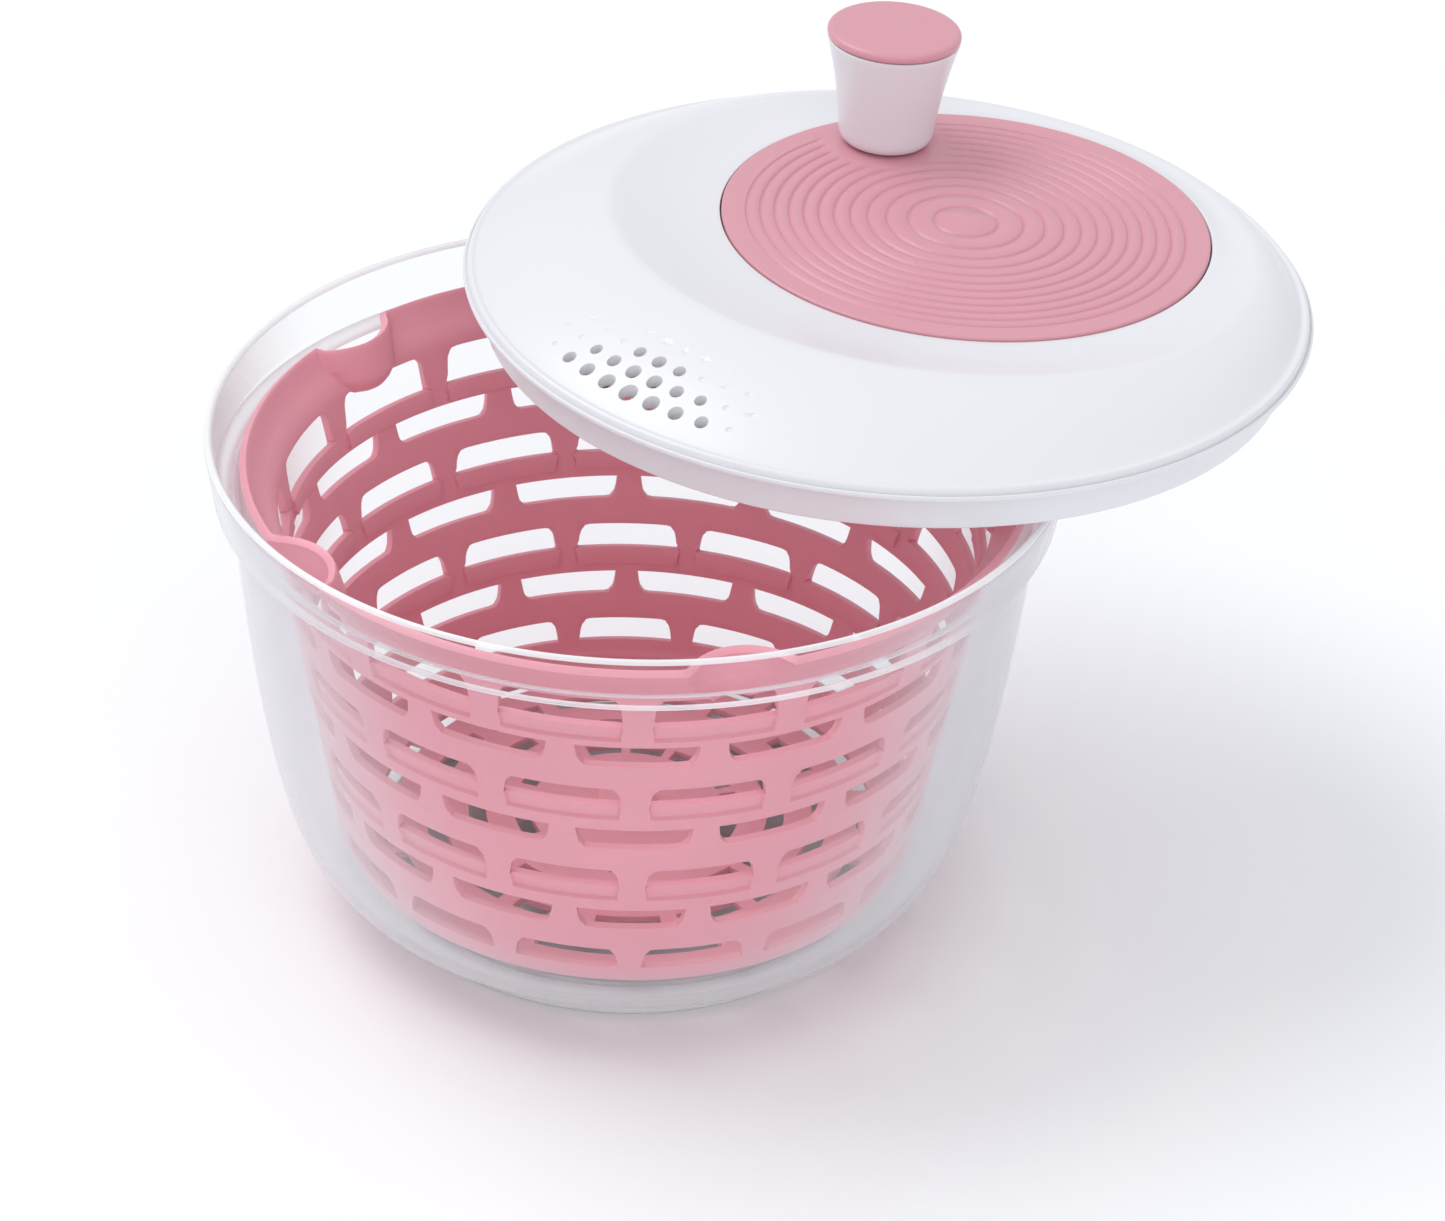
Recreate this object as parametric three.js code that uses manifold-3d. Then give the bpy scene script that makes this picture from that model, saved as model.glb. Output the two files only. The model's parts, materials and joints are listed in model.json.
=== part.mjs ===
// Salad spinner with its lid lifted off and held, leaning a little, over the bowl's right half.
// Millimetres, +Z up. The origin is the centre of the foot's flat underside, on the bowl's axis.
import * as THREE from "three";
import { mergeVertices } from "three/addons/utils/BufferGeometryUtils.js";
import Module from "manifold-3d";

const wasm = await Module();
wasm.setup();

// Driving dimensions
const GAP = 0.3; // clearance between pieces that touch
const RIM_RADIUS = 120; // bowl, outside, at the top
const BOWL_HEIGHT = 148.7;
const FOOT_RADIUS = 73.8;
const PIN_RADIUS = 2;
const BASKET_BOTTOM = 17.9;
const BASKET_TOP = 137.6;
const BASKET_SIDES = 30; // flat facets round the basket
const COLUMNS = 15; // openings in each row
const ROWS = 7;
const ROW_PITCH = 15.2;
const LOWEST_ROW = 28.4; // height of the lowest row's middle
const OPENING_HALF_ANGLE = 9.4;
const ODD_COLUMN_ANGLE = -100.6; // middle of one opening in the rows counted 0, 2, 4, 6
const POCKETS = 5;
const POCKET_ANGLE = 141.6;
const FLOOR_SLOT_RADII = [30.5, 43.5, 56.5, 69.5]; // rings of slots in the basket's floor
const LID_AT = [70.2, 55.4, 167.2]; // centre of the lid's edge plane while it is held off
const LID_AXIS = [0.029, 0.012, 1]; // the held lid leans down to the right by under 2 degrees
const LID_TURN = 46.4; // direction of the crank disc's offset
const LID_RADIUS = 121;
const DISC_OFFSET = 32.5; // crank disc axis to lid axis, which is the gears' centre distance
const DISC_RADIUS = 70.8;
const WELL_RADIUS = 71.2; // where the disc drops into the lid
const DISC_TOP = 8;
const KNOB_ARM = 54.7; // knob axis to disc axis
const KNOB_ANGLE = 67.4; // from the offset direction
const KNOB_HEIGHT = 36.6; // top of its cap above the disc
const MODULE = 1.25; // gear tooth module
const RING_TEETH = 68;
const PINION_TEETH = 16;
const SHAFT_RADIUS = 3;
const LID_SCREWS = 4;
const LID_SCREW_RADIUS = 108.6; // from the lid axis
const FIRST_LID_SCREW = 45; // degrees from the offset direction

// Finishes
const clear = new THREE.MeshStandardMaterial({
  color: "#eef0f4", roughness: 0.08, transparent: true, opacity: 0.35 });
const white = new THREE.MeshStandardMaterial({ color: "#f3f3f6", roughness: 0.3 });
const rose = new THREE.MeshStandardMaterial({ color: "#d997a6", roughness: 0.4 });
const acetal = new THREE.MeshStandardMaterial({ color: "#e9e6df", roughness: 0.5 });
const steel = new THREE.MeshStandardMaterial({ color: "#b9bcc0", roughness: 0.3, metalness: 1 });

const radians = THREE.MathUtils.degToRad;
const spinner = new THREE.Group();
const lid = new THREE.Group();
lid.position.set(...LID_AT);
const up = new THREE.Vector3(0, 0, 1);
const turn = new THREE.Quaternion().setFromAxisAngle(up, radians(LID_TURN));
lid.quaternion.setFromUnitVectors(up, new THREE.Vector3(...LID_AXIS).normalize()).multiply(turn);
spinner.add(lid);

function solid(geometry) {
  const bare = geometry.index ? geometry.clone() : geometry.toNonIndexed();
  bare.deleteAttribute("normal");
  bare.deleteAttribute("uv");
  const merged = mergeVertices(bare, 1e-4);
  const corners = merged.index.array;
  const kept = [];
  for (let i = 0; i < corners.length; i += 3) {
    const [a, b, c] = corners.slice(i, i + 3);
    if (a !== b && b !== c && c !== a) kept.push(a, b, c);
  }
  const triVerts = new Uint32Array(kept);
  const vertProperties = new Float32Array(merged.attributes.position.array);
  return new wasm.Manifold(new wasm.Mesh({ numProp: 3, vertProperties, triVerts }));
}

function geometryOf(body) {
  const mesh = body.getMesh();
  const geometry = new THREE.BufferGeometry();
  geometry.setAttribute("position", new THREE.BufferAttribute(mesh.vertProperties, 3));
  geometry.setIndex(new THREE.BufferAttribute(mesh.triVerts, 1));
  geometry.computeVertexNormals();
  return geometry;
}

// A body of revolution about Z. The outline runs from [radius, height] to [radius, height].
function turned(outline, sides = 32) {
  const points = outline.map(([r, z]) => new THREE.Vector2(r, z));
  return new THREE.LatheGeometry(points, sides).rotateX(Math.PI / 2);
}

function curve(from, control, to, steps) {
  const path = new THREE.QuadraticBezierCurve(
    new THREE.Vector2(...from), new THREE.Vector2(...control), new THREE.Vector2(...to));
  return path.getPoints(steps).map((p) => [p.x, p.y]);
}

function rod(radius, low, high, sides = 16) {
  return turned([[0, low], [radius, low], [radius, high], [0, high]], sides);
}

function block(x, y, z, at) {
  return new THREE.BoxGeometry(x, y, z).translate(...at);
}

function about(geometry, degrees) {
  return geometry.rotateZ(radians(degrees));
}

function add(parent, name, geometry, material, at = [0, 0, 0]) {
  const mesh = new THREE.Mesh(geometry, material);
  mesh.name = name;
  mesh.position.set(...at);
  parent.add(mesh);
}

// Screw with a round head and a six-sided recess. The head's top is at z = 0.
function screw(headRadius, headHeight, shankRadius, length) {
  const body = solid(turned([
    [0, -headHeight - length], [shankRadius, -headHeight - length],
    [shankRadius, -headHeight], [headRadius, -headHeight],
    [headRadius, -0.5], [headRadius - 0.5, 0], [0, 0]], 12));
  return body.subtract(solid(rod(headRadius * 0.45, -headHeight * 0.6, 1, 6)));
}

// Gear outline with straight flanks. A root radius above the tip radius makes a ring's teeth.
function gearShape(teeth, rootRadius, tipRadius, phase) {
  const step = (2 * Math.PI) / teeth;
  const rootHalf = step * 0.27;
  const tipHalf = step * 0.11;
  const points = [];
  for (let i = 0; i < teeth; i += 1) {
    const middle = i * step + phase;
    const tooth = [
      [rootRadius, -rootHalf], [tipRadius, -tipHalf], [tipRadius, tipHalf], [rootRadius, rootHalf]];
    for (const [r, away] of tooth) {
      points.push(new THREE.Vector2(r * Math.cos(middle + away), r * Math.sin(middle + away)));
    }
  }
  return points;
}

function extruded(shape, low, high) {
  return new THREE.ExtrudeGeometry(shape, { depth: high - low, bevelEnabled: false, curveSegments: 16 })
    .translate(0, 0, low);
}

// Bowl: one thin moulding with a raised collar, a big lower corner and a boss for the pin.
const STEP_HEIGHT = 131; // where the wall steps out into the collar
const bowlOutline = [
  [0, 2.7], [70.2, 2.7], [70.2, 8.3],
  ...curve([75, 8.3], [91, 9.5], [98, 31], 4),
  ...curve([98, 31], [107, 58], [112.8, STEP_HEIGHT], 4).slice(1),
  [117.4, STEP_HEIGHT + 1.3], [RIM_RADIUS, BOWL_HEIGHT], [RIM_RADIUS - 2.6, BOWL_HEIGHT],
  [115.6, STEP_HEIGHT + 3.6],
  ...curve([110.4, STEP_HEIGHT + 0.6], [104.6, 58], [95.7, 31.5], 4),
  ...curve([95.7, 31.5], [89, 12], [73, 10.6], 4).slice(1),
  [66, 5.5], [12, 5.5], [9, 14], [PIN_RADIUS + GAP, 14], [PIN_RADIUS + GAP, 8], [0, 8]];
add(spinner, "bowl", turned(bowlOutline, 32), clear);

// Foot cap: a shallow non-slip dish over the bowl's foot.
const footOutline = [
  [0, 0], [FOOT_RADIUS - 1.4, 0], [FOOT_RADIUS, 1.6], [FOOT_RADIUS, 8], [70.5, 8],
  [70.5, 2.4], [0, 2.4]];
add(spinner, "foot_cap", turned(footOutline, 32), white);

add(spinner, "pivot_pin", turned([
  [0, 8.3], [PIN_RADIUS, 8.3], [PIN_RADIUS, 20], [1.2, 21], [0, 21]], 16), steel);

add(spinner, "basket_bush", turned([
  [0, 21.4], [2.3, 21.4], [2.3, 14.3], [8.5, 14.3], [8.5, 16.5], [6, 16.5], [6, 23], [5, 24],
  [0, 24]], 16), acetal);

// Basket: a tapered shell with a flared lip, rows of openings and five pockets for the drive lugs.
function wallRadius(z) {
  return 84.9 + 0.176 * (z - LOWEST_ROW);
}

const basketOutline = [
  [0, 24.3], [6.3, 24.3], [6.3, 16.8], [9.2, 16.8], [9.2, BASKET_BOTTOM], [80, BASKET_BOTTOM],
  [wallRadius(20.8), 20.8], [wallRadius(125), 125], [104.2, 128], [109.8, 135.6],
  [110.3, BASKET_TOP], [107.8, BASKET_TOP], [102.2, 128.4], [wallRadius(125) - 2.2, 125],
  [wallRadius(22) - 2.2, 22], [79, 20.1], [9.2, 20.1], [9.2, 26.5], [0, 26.5]];

// The pocket's round cup, as an ellipsoid seated in the lip.
function pocketCup(shrink) {
  return new THREE.SphereGeometry(1, 10, 6)
    .scale(11.5 - shrink, 14 - shrink, 19 - shrink)
    .translate(103, 0, BASKET_TOP);
}

function makeBasket() {
  let basket = solid(turned(basketOutline, BASKET_SIDES));
  const inside = solid(turned([
    [0, 100], [97, 100], [102, 125], [107, 133], [107, BASKET_TOP], [0, BASKET_TOP]], BASKET_SIDES));
  const reach = solid(rod(107.6, 100, 170, BASKET_SIDES));
  for (let i = 0; i < POCKETS; i += 1) {
    const angle = POCKET_ANGLE + (360 / POCKETS) * i;
    const cup = solid(about(pocketCup(0), angle)).intersect(inside);
    const hollow = solid(about(pocketCup(2), angle)).intersect(reach);
    basket = basket.add(cup).subtract(hollow);
  }
  for (let row = 0; row < ROWS; row += 1) {
    const z = LOWEST_ROW + ROW_PITCH * row;
    const height = row === ROWS - 1 ? 10.6 : 7;
    const width = 2 * wallRadius(z) * Math.sin(radians(OPENING_HALF_ANGLE));
    const start = ODD_COLUMN_ANGLE + (row % 2) * (180 / COLUMNS);
    for (let i = 0; i < COLUMNS; i += 1) {
      const cutter = block(12, width, height, [wallRadius(z), 0, z]);
      basket = basket.subtract(solid(about(cutter, start + (360 / COLUMNS) * i)));
    }
  }
  for (const [ring, radius] of FLOOR_SLOT_RADII.entries()) {
    const length = 2 * radius * Math.sin(radians(OPENING_HALF_ANGLE));
    const start = ODD_COLUMN_ANGLE + ((ring + 1) % 2) * (180 / COLUMNS);
    for (let i = 0; i < COLUMNS; i += 1) {
      const slot = block(5, length, 8, [radius, 0, 19]);
      basket = basket.subtract(solid(about(slot, start + (360 / COLUMNS) * i)));
    }
  }
  return geometryOf(basket);
}
add(spinner, "basket", makeBasket(), rose);

// Lid shell: rings listed as [offset of the ring's centre, radius, height, tilt], from the
// edge over the ridge, down the off-centre dish to the gear well and back along the underside.
const RIDGE = [18, 93.5, 11, -5];
const BESIDE_RIDGE = [19, 91.9, 10.9, -4.8];
const DISH_EDGE = [DISC_OFFSET, WELL_RADIUS, DISC_TOP - 1.2, 0];
const EDGE_INNER = [0, 117.3, 0.9, 0];
const UNDER_RIDGE = [18.6, 91.9, 8.7, -5];
const UNDER_EDGE = [0, 114.5, -1, 0];

function between(a, b, share, crown) {
  return a.map((value, k) => value + (b[k] - value) * share + (k === 2 ? crown : 0));
}

const lidRings = [
  [0, LID_RADIUS, -1, 0], [0, LID_RADIUS + 0.2, 0.3, 0], [0, 119.6, 1.1, 0], [0, 118, 0.2, 0],
  EDGE_INNER, between(EDGE_INNER, RIDGE, 0.33, 1.1), between(EDGE_INNER, RIDGE, 0.67, 1), RIDGE,
  BESIDE_RIDGE, between(BESIDE_RIDGE, DISH_EDGE, 0.5, -0.5), DISH_EDGE,
  [DISC_OFFSET, WELL_RADIUS, 3.4, 0], [DISC_OFFSET, 47.5, 3.4, 0], [DISC_OFFSET, 47.5, -2.6, 0],
  [DISC_OFFSET, 8, -2.6, 0], [DISC_OFFSET, 8, DISC_TOP - 2.8, 0], [DISC_OFFSET, 5.3, DISC_TOP - 2.8, 0],
  [DISC_OFFSET, 5.3, -4.6, 0], [DISC_OFFSET, 49.6, -4.6, 0], [DISC_OFFSET, 49.6, 1.3, 0],
  [DISC_OFFSET, 73.2, 1.3, 0], UNDER_RIDGE, between(UNDER_RIDGE, UNDER_EDGE, 0.5, 1),
  UNDER_EDGE, [0, LID_RADIUS, -1, 0]];
const LID_SIDES = 40;

function loftedLid() {
  const geometry = new THREE.LatheGeometry(
    lidRings.map((ring) => new THREE.Vector2(ring[1], ring[2])), LID_SIDES).rotateX(Math.PI / 2);
  const place = geometry.attributes.position;
  for (let i = 0; i < place.count; i += 1) {
    const [offset, radius, , tilt] = lidRings[i % lidRings.length];
    place.setZ(i, place.getZ(i) + tilt * (place.getX(i) / radius));
    place.setX(i, place.getX(i) + offset);
  }
  return geometry;
}

// Pouring holes: rows parallel to the rim, opposite the crank disc, smaller towards the middle.
const HOLE_ROWS = [
  { radius: 110.4, count: 7 },
  { radius: 104.4, count: 6 },
  { radius: 98.4, count: 3 }];
const HOLE_MIDDLE = 182; // middle of every row, from the offset direction
const HOLE_PITCH = 4.2; // degrees between holes of a row
const LARGEST_HOLE = 2.65;

function makeLidShell() {
  let shell = solid(loftedLid());
  for (const [index, row] of HOLE_ROWS.entries()) {
    for (let i = 0; i < row.count; i += 1) {
      const from = i - (row.count - 1) / 2;
      const radius = LARGEST_HOLE - 0.25 * Math.abs(from) - 0.3 * index;
      const hole = rod(radius, -10, 30, 8).translate(row.radius, 0, 0);
      shell = shell.subtract(solid(about(hole, HOLE_MIDDLE + HOLE_PITCH * from)));
    }
  }
  shell = shell.subtract(solid(rod(5.8, -10, 0, 16)));
  for (let i = 0; i < LID_SCREWS; i += 1) {
    const angle = FIRST_LID_SCREW + (360 / LID_SCREWS) * i;
    const postTop = Math.cos(radians(angle)) > 0 ? 3.6 : 2.2; // ends inside the shell's wall
    const post = rod(4, -9.9, postTop, 12).translate(LID_SCREW_RADIUS, 0, 0);
    const bore = rod(1.8, -12, -1, 8).translate(LID_SCREW_RADIUS, 0, 0);
    shell = shell.add(solid(about(post, angle))).subtract(solid(about(bore, angle)));
  }
  return geometryOf(shell);
}
add(lid, "lid_shell", makeLidShell(), white);

// Lid base: the skirt that drops inside the bowl's collar, with the cover under the gears.
const BASE_TOP = -10.2;
const BASE_BOTTOM = -12;
const SKIRT_BOTTOM = -13.8;

function makeLidBase() {
  let base = solid(turned([
    [116.8, -1.6], [114.8, -1.6], [113.7, BASE_TOP], [7.5, BASE_TOP], [7.5, BASE_BOTTOM],
    [113.5, BASE_BOTTOM], [113.2, SKIRT_BOTTOM], [115.2, SKIRT_BOTTOM], [116.8, -1.6]], LID_SIDES));
  const drain = block(20, 44, 6, [-100, 0, BASE_BOTTOM]); // the water's way on to the pouring holes
  base = base.subtract(solid(about(drain, HOLE_MIDDLE - 180)));
  for (let i = 0; i < LID_SCREWS; i += 1) {
    const hole = rod(1.9, -14, -8, 8).translate(LID_SCREW_RADIUS, 0, 0);
    base = base.subtract(solid(about(hole, FIRST_LID_SCREW + (360 / LID_SCREWS) * i)));
  }
  return geometryOf(base);
}
add(lid, "lid_base", makeLidBase(), white);

for (let i = 0; i < LID_SCREWS; i += 1) {
  const angle = radians(FIRST_LID_SCREW + (360 / LID_SCREWS) * i);
  const lidScrew = geometryOf(screw(3.2, 1.8, 1.5, 8)).rotateX(Math.PI);
  const at = [LID_SCREW_RADIUS * Math.cos(angle), LID_SCREW_RADIUS * Math.sin(angle), -14.1];
  add(lid, `lid_screw_${i + 1}`, lidScrew, steel, at);
}

add(lid, "shaft_bush", turned([
  [3.3, -7.4], [5.5, -7.4], [5.5, -2.3], [8, -2.3], [8, -1.2], [3.3, -1.2],
  [3.3, -7.4]], 16), acetal);

// Crank disc with its hub, the ring gear under it, and what holds it in the lid.
const knobAt = [
  DISC_OFFSET + KNOB_ARM * Math.cos(radians(KNOB_ANGLE)),
  KNOB_ARM * Math.sin(radians(KNOB_ANGLE)),
  DISC_TOP];

function makeDisc() {
  const plate = solid(turned([
    [0, 4], [1.6, 4], [1.6, -4.2], [5, -4.2],
    [5, DISC_TOP - 2.4], [DISC_RADIUS - 0.8, DISC_TOP - 2.4],
    [DISC_RADIUS, DISC_TOP - 1.6], [DISC_RADIUS, DISC_TOP - 0.5], [DISC_RADIUS - 0.6, DISC_TOP],
    [0, DISC_TOP]], LID_SIDES));
  const hole = rod(SHAFT_RADIUS + GAP, 4, 10, 16).translate(knobAt[0] - DISC_OFFSET, knobAt[1], 0);
  return geometryOf(plate.subtract(solid(hole)));
}
add(lid, "crank_disc", makeDisc(), rose, [DISC_OFFSET, 0, 0]);

const RING_PITCH_RADIUS = (MODULE * RING_TEETH) / 2;
const ringShape = new THREE.Shape().absarc(0, 0, RING_PITCH_RADIUS + 4.5, 0, 2 * Math.PI, false);
ringShape.holes.push(new THREE.Path(gearShape(
  RING_TEETH, RING_PITCH_RADIUS + MODULE, RING_PITCH_RADIUS - 0.8 * MODULE, Math.PI / RING_TEETH)));
add(lid, "ring_gear", extruded(ringShape, 0.8, DISC_TOP - 2.7), acetal, [DISC_OFFSET, 0, 0]);

add(lid, "disc_washer", turned([
  [2.2, -6.4], [8.5, -6.4], [8.5, -4.9], [2.2, -4.9], [2.2, -6.4]], 16), steel, [DISC_OFFSET, 0, 0]);
add(lid, "disc_screw", geometryOf(screw(4.2, 2.2, 1.3, 9)).rotateX(Math.PI), steel,
  [DISC_OFFSET, 0, -8.9]);

// Crank knob: a steel stud in the disc, a flared cup that turns on it, a screw and a cap.
const CUP_RADIUS = 19.6; // at its mouth
const CUP_TOP = KNOB_HEIGHT - 3;

add(lid, "knob_axle", turned([
  [0, -4], [SHAFT_RADIUS, -4], [SHAFT_RADIUS, 0.3], [7, 0.3], [7, 1.3], [SHAFT_RADIUS, 1.3],
  [SHAFT_RADIUS, 27], [1.6, 27], [1.6, 18], [0, 18]], 12), steel, knobAt);
add(lid, "knob_screw", geometryOf(screw(5.5, 2.2, 1.3, 8)), steel,
  [knobAt[0], knobAt[1], DISC_TOP + 29.5]);
add(lid, "knob_body", turned([
  [3.3, 1.6], [7.6, 1.6], [7.6, 0.4], ...curve([10.8, 0.4], [13.8, 0.6], [14.2, 4.4], 3),
  ...curve([14.2, 4.4], [15.4, 18], [CUP_RADIUS, CUP_TOP], 4).slice(1),
  ...curve([CUP_RADIUS - 1.9, CUP_TOP], [13.4, 18], [12.2, 6], 3),
  [6.5, 4.6], [6.5, 26.7], [3.3, 26.7], [3.3, 1.6]], 24), white, knobAt);
add(lid, "knob_cap", turned([
  [0, CUP_TOP - 2], [16, CUP_TOP - 2], [16, CUP_TOP + 0.3], [CUP_RADIUS, CUP_TOP + 0.3],
  ...curve([CUP_RADIUS + 0.2, CUP_TOP + 1.6], [CUP_RADIUS + 0.1, KNOB_HEIGHT], [18, KNOB_HEIGHT], 3),
  [0, KNOB_HEIGHT]], 24), rose, knobAt);

// Drive: the pinion on the lid axis, its shaft, and the plate whose lugs turn the basket.
function makePinion() {
  const shape = new THREE.Shape(gearShape(
    PINION_TEETH, (MODULE * PINION_TEETH) / 2 - MODULE, (MODULE * PINION_TEETH) / 2 + 0.8 * MODULE, 0));
  shape.holes.push(new THREE.Path().absarc(0, 0, SHAFT_RADIUS + GAP, 0, 2 * Math.PI, true));
  return extruded(shape, -0.9, DISC_TOP - 3.1);
}
add(lid, "drive_pinion", makePinion(), acetal);

add(lid, "drive_shaft", turned([
  [0, -11], [1.6, -11], [1.6, -19], [SHAFT_RADIUS, -19], [SHAFT_RADIUS, 4.4], [0, 4.4]], 16), steel);

function makeClip() {
  const ring = solid(turned([
    [3.3, -8.4], [5.5, -8.4], [5.5, -7.7], [3.3, -7.7], [3.3, -8.4]], 16));
  return geometryOf(ring.subtract(solid(block(6, 2.4, 4, [5, 0, -8]))));
}
add(lid, "shaft_clip", makeClip(), steel);

function makeDrivePlate() {
  const hub = [[1.7, -21], [10, -21], [10, -15.4], [46, -15.4], [46, -13.2], [10, -13.2], [10, -12.6],
    [3.3, -12.6], [3.3, -19.3], [1.7, -19.3], [1.7, -21]];
  let plate = solid(turned(hub, 20));
  for (let i = 0; i < POCKETS; i += 1) {
    const angle = (360 / POCKETS) * i;
    const arm = block(64, 16, 2.2, [68, 0, -14.3]);
    const lug = block(8, 14, 4.3, [100, 0, -15.35]);
    plate = plate.add(solid(about(arm, angle))).add(solid(about(lug, angle)));
  }
  return geometryOf(plate);
}
add(lid, "drive_plate", makeDrivePlate(), white);

add(lid, "drive_screw", geometryOf(screw(4.6, 2.2, 1.3, 9)).rotateX(Math.PI), steel, [0, 0, -23.5]);

export default spinner;
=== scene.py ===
"""Salad spinner: a clear bowl, a rose basket, and a white crank lid held off over the right half."""
import json
import math

import bmesh
import bpy
from mathutils import Matrix, Vector


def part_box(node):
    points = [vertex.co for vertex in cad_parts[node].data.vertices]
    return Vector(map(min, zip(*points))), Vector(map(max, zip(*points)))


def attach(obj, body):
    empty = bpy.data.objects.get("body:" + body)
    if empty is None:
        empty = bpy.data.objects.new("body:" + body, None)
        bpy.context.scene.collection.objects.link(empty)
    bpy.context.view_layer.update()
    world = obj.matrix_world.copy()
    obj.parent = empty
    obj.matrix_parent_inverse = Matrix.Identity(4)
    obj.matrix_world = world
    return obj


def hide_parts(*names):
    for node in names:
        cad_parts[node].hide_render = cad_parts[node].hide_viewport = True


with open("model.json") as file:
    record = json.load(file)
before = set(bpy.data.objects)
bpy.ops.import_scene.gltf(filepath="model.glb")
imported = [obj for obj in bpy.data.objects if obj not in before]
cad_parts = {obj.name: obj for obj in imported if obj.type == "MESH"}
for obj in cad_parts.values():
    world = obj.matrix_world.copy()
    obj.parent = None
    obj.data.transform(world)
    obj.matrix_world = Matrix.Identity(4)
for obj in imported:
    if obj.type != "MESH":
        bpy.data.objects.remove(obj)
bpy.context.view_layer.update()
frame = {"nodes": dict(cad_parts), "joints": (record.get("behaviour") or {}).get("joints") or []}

# ---- Studio -------------------------------------------------------------------------------
# A white sweep of smooth board under a tent that is brightest overhead, with a broad soft light
# at the upper left and a camera on a long lens, a little above the lid.
SRGB_KNEE = 0.04045


def linear(hex_colour):
    """An sRGB hex colour as the linear one that Blender's sockets take."""
    parts = [int(hex_colour[k:k + 2], 16) / 255 for k in (1, 3, 5)]
    return [c / 12.92 if c <= SRGB_KNEE else ((c + 0.055) / 1.055) ** 2.4 for c in parts] + [1.0]


def add_node(tree, kind, links=None, **settings):
    """One shader node: settings are its properties or sockets, links are {socket: output}."""
    made = tree.nodes.new(kind)
    for key, value in settings.items():
        if hasattr(made, key):
            setattr(made, key, value)
        else:
            made.inputs[key.replace("_", " ")].default_value = value
    for socket, output in (links or {}).items():
        tree.links.new(output, made.inputs[socket])
    return made


CAMERA_PLACE = Vector((0, -1.1248, 0.8054))
CAMERA_PITCH = math.radians(32.49)
CAMERA_YAW = math.radians(1.30)
CAMERA_ROLL = math.radians(2.42)
camera_data = bpy.data.cameras.new("camera")
camera_data.sensor_width = 36
camera_data.lens = 117.1
camera = bpy.data.objects.new("camera", camera_data)
camera.matrix_world = (Matrix.Translation(CAMERA_PLACE) @ Matrix.Rotation(-CAMERA_YAW, 4, "Z")
                       @ Matrix.Rotation(math.pi / 2 - CAMERA_PITCH, 4, "X")
                       @ Matrix.Rotation(CAMERA_ROLL, 4, "Z"))
bpy.context.collection.objects.link(camera)
bpy.context.scene.camera = camera
bpy.context.scene.view_settings.view_transform = "Standard"

world = bpy.data.worlds.new("tent")
world.use_nodes = True
tent = world.node_tree.nodes["Background"]
tent.inputs["Color"].default_value = linear("#fafcff")
height = add_node(world.node_tree, "ShaderNodeSeparateXYZ", {
    "Vector": add_node(world.node_tree, "ShaderNodeTexCoord").outputs["Generated"]})
dome = add_node(world.node_tree, "ShaderNodeMapRange", {"Value": height.outputs["Z"]})
dome.inputs["From Min"].default_value = 0.0
dome.inputs["To Min"].default_value = 0.68
dome.inputs["To Max"].default_value = 0.80
world.node_tree.links.new(dome.outputs["Result"], tent.inputs["Strength"])
bpy.context.scene.world = world


def soft_light(name, towards, strength, spread):
    """A far soft light: towards points from the object to the light, spread is in degrees."""
    data = bpy.data.lights.new(name, "SUN")
    data.energy = strength
    data.angle = math.radians(spread)
    lamp = bpy.data.objects.new(name, data)
    lamp.rotation_euler = Vector(towards).to_track_quat("Z", "Y").to_euler()
    bpy.context.collection.objects.link(lamp)


soft_light("key_light", (-0.52, 0.25, 0.82), 1.05, 40)
soft_light("front_light", (0.1, -0.8, 0.5), 0.45, 60)

floor_mesh = bmesh.new()
bmesh.ops.create_circle(floor_mesh, cap_ends=True, radius=14, segments=96)
floor_data = bpy.data.meshes.new("floor")
floor_mesh.to_mesh(floor_data)
floor = bpy.data.objects.new("floor", floor_data)
bpy.context.collection.objects.link(floor)
board = bpy.data.materials.new("satin_board")
board.use_nodes = True
surface = board.node_tree.nodes["Principled BSDF"]
surface.inputs["Base Color"].default_value = linear("#fbfdff")
surface.inputs["Roughness"].default_value = 0.35
surface.inputs["Specular IOR Level"].default_value = 0.35
floor_data.materials.append(board)

# ---- Bowl ---------------------------------------------------------------------------------
# One clear styrene moulding: a raised collar with a rolled lip, a thin tapered wall and a big
# lower corner. It is polished in the tool, so it is glassy, and only its edges look white; at
# the lip and the step that white is a painted highlight.
MM = 0.001
bowl_low, bowl_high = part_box("bowl")
RIM = (bowl_high.x - bowl_low.x) / 2 / MM
TOP = bowl_high.z / MM


def bend(start, control, end, steps):
    """Points of a round stretch of an outline, from start to end."""
    shares = [k / steps for k in range(steps + 1)]
    return [tuple((1 - t) ** 2 * a + 2 * t * (1 - t) * b + t * t * c
                  for a, b, c in zip(start, control, end)) for t in shares]


def spun(outline, steps=180, turn=0.0):
    """An outline of (radius, height) in mm, spun once round Z."""
    mesh = bmesh.new()
    points = [mesh.verts.new((r * math.cos(turn), r * math.sin(turn), z)) for r, z in outline]
    rim = [mesh.edges.new(pair) for pair in zip(points, points[1:])]
    bmesh.ops.spin(mesh, geom=points + rim, cent=(0, 0, 0), axis=(0, 0, 1), dvec=(0, 0, 0),
                   angle=2 * math.pi, steps=steps, use_merge=True)
    bmesh.ops.remove_doubles(mesh, verts=mesh.verts, dist=0.0005)
    bmesh.ops.recalc_face_normals(mesh, faces=mesh.faces)
    return mesh


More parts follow.
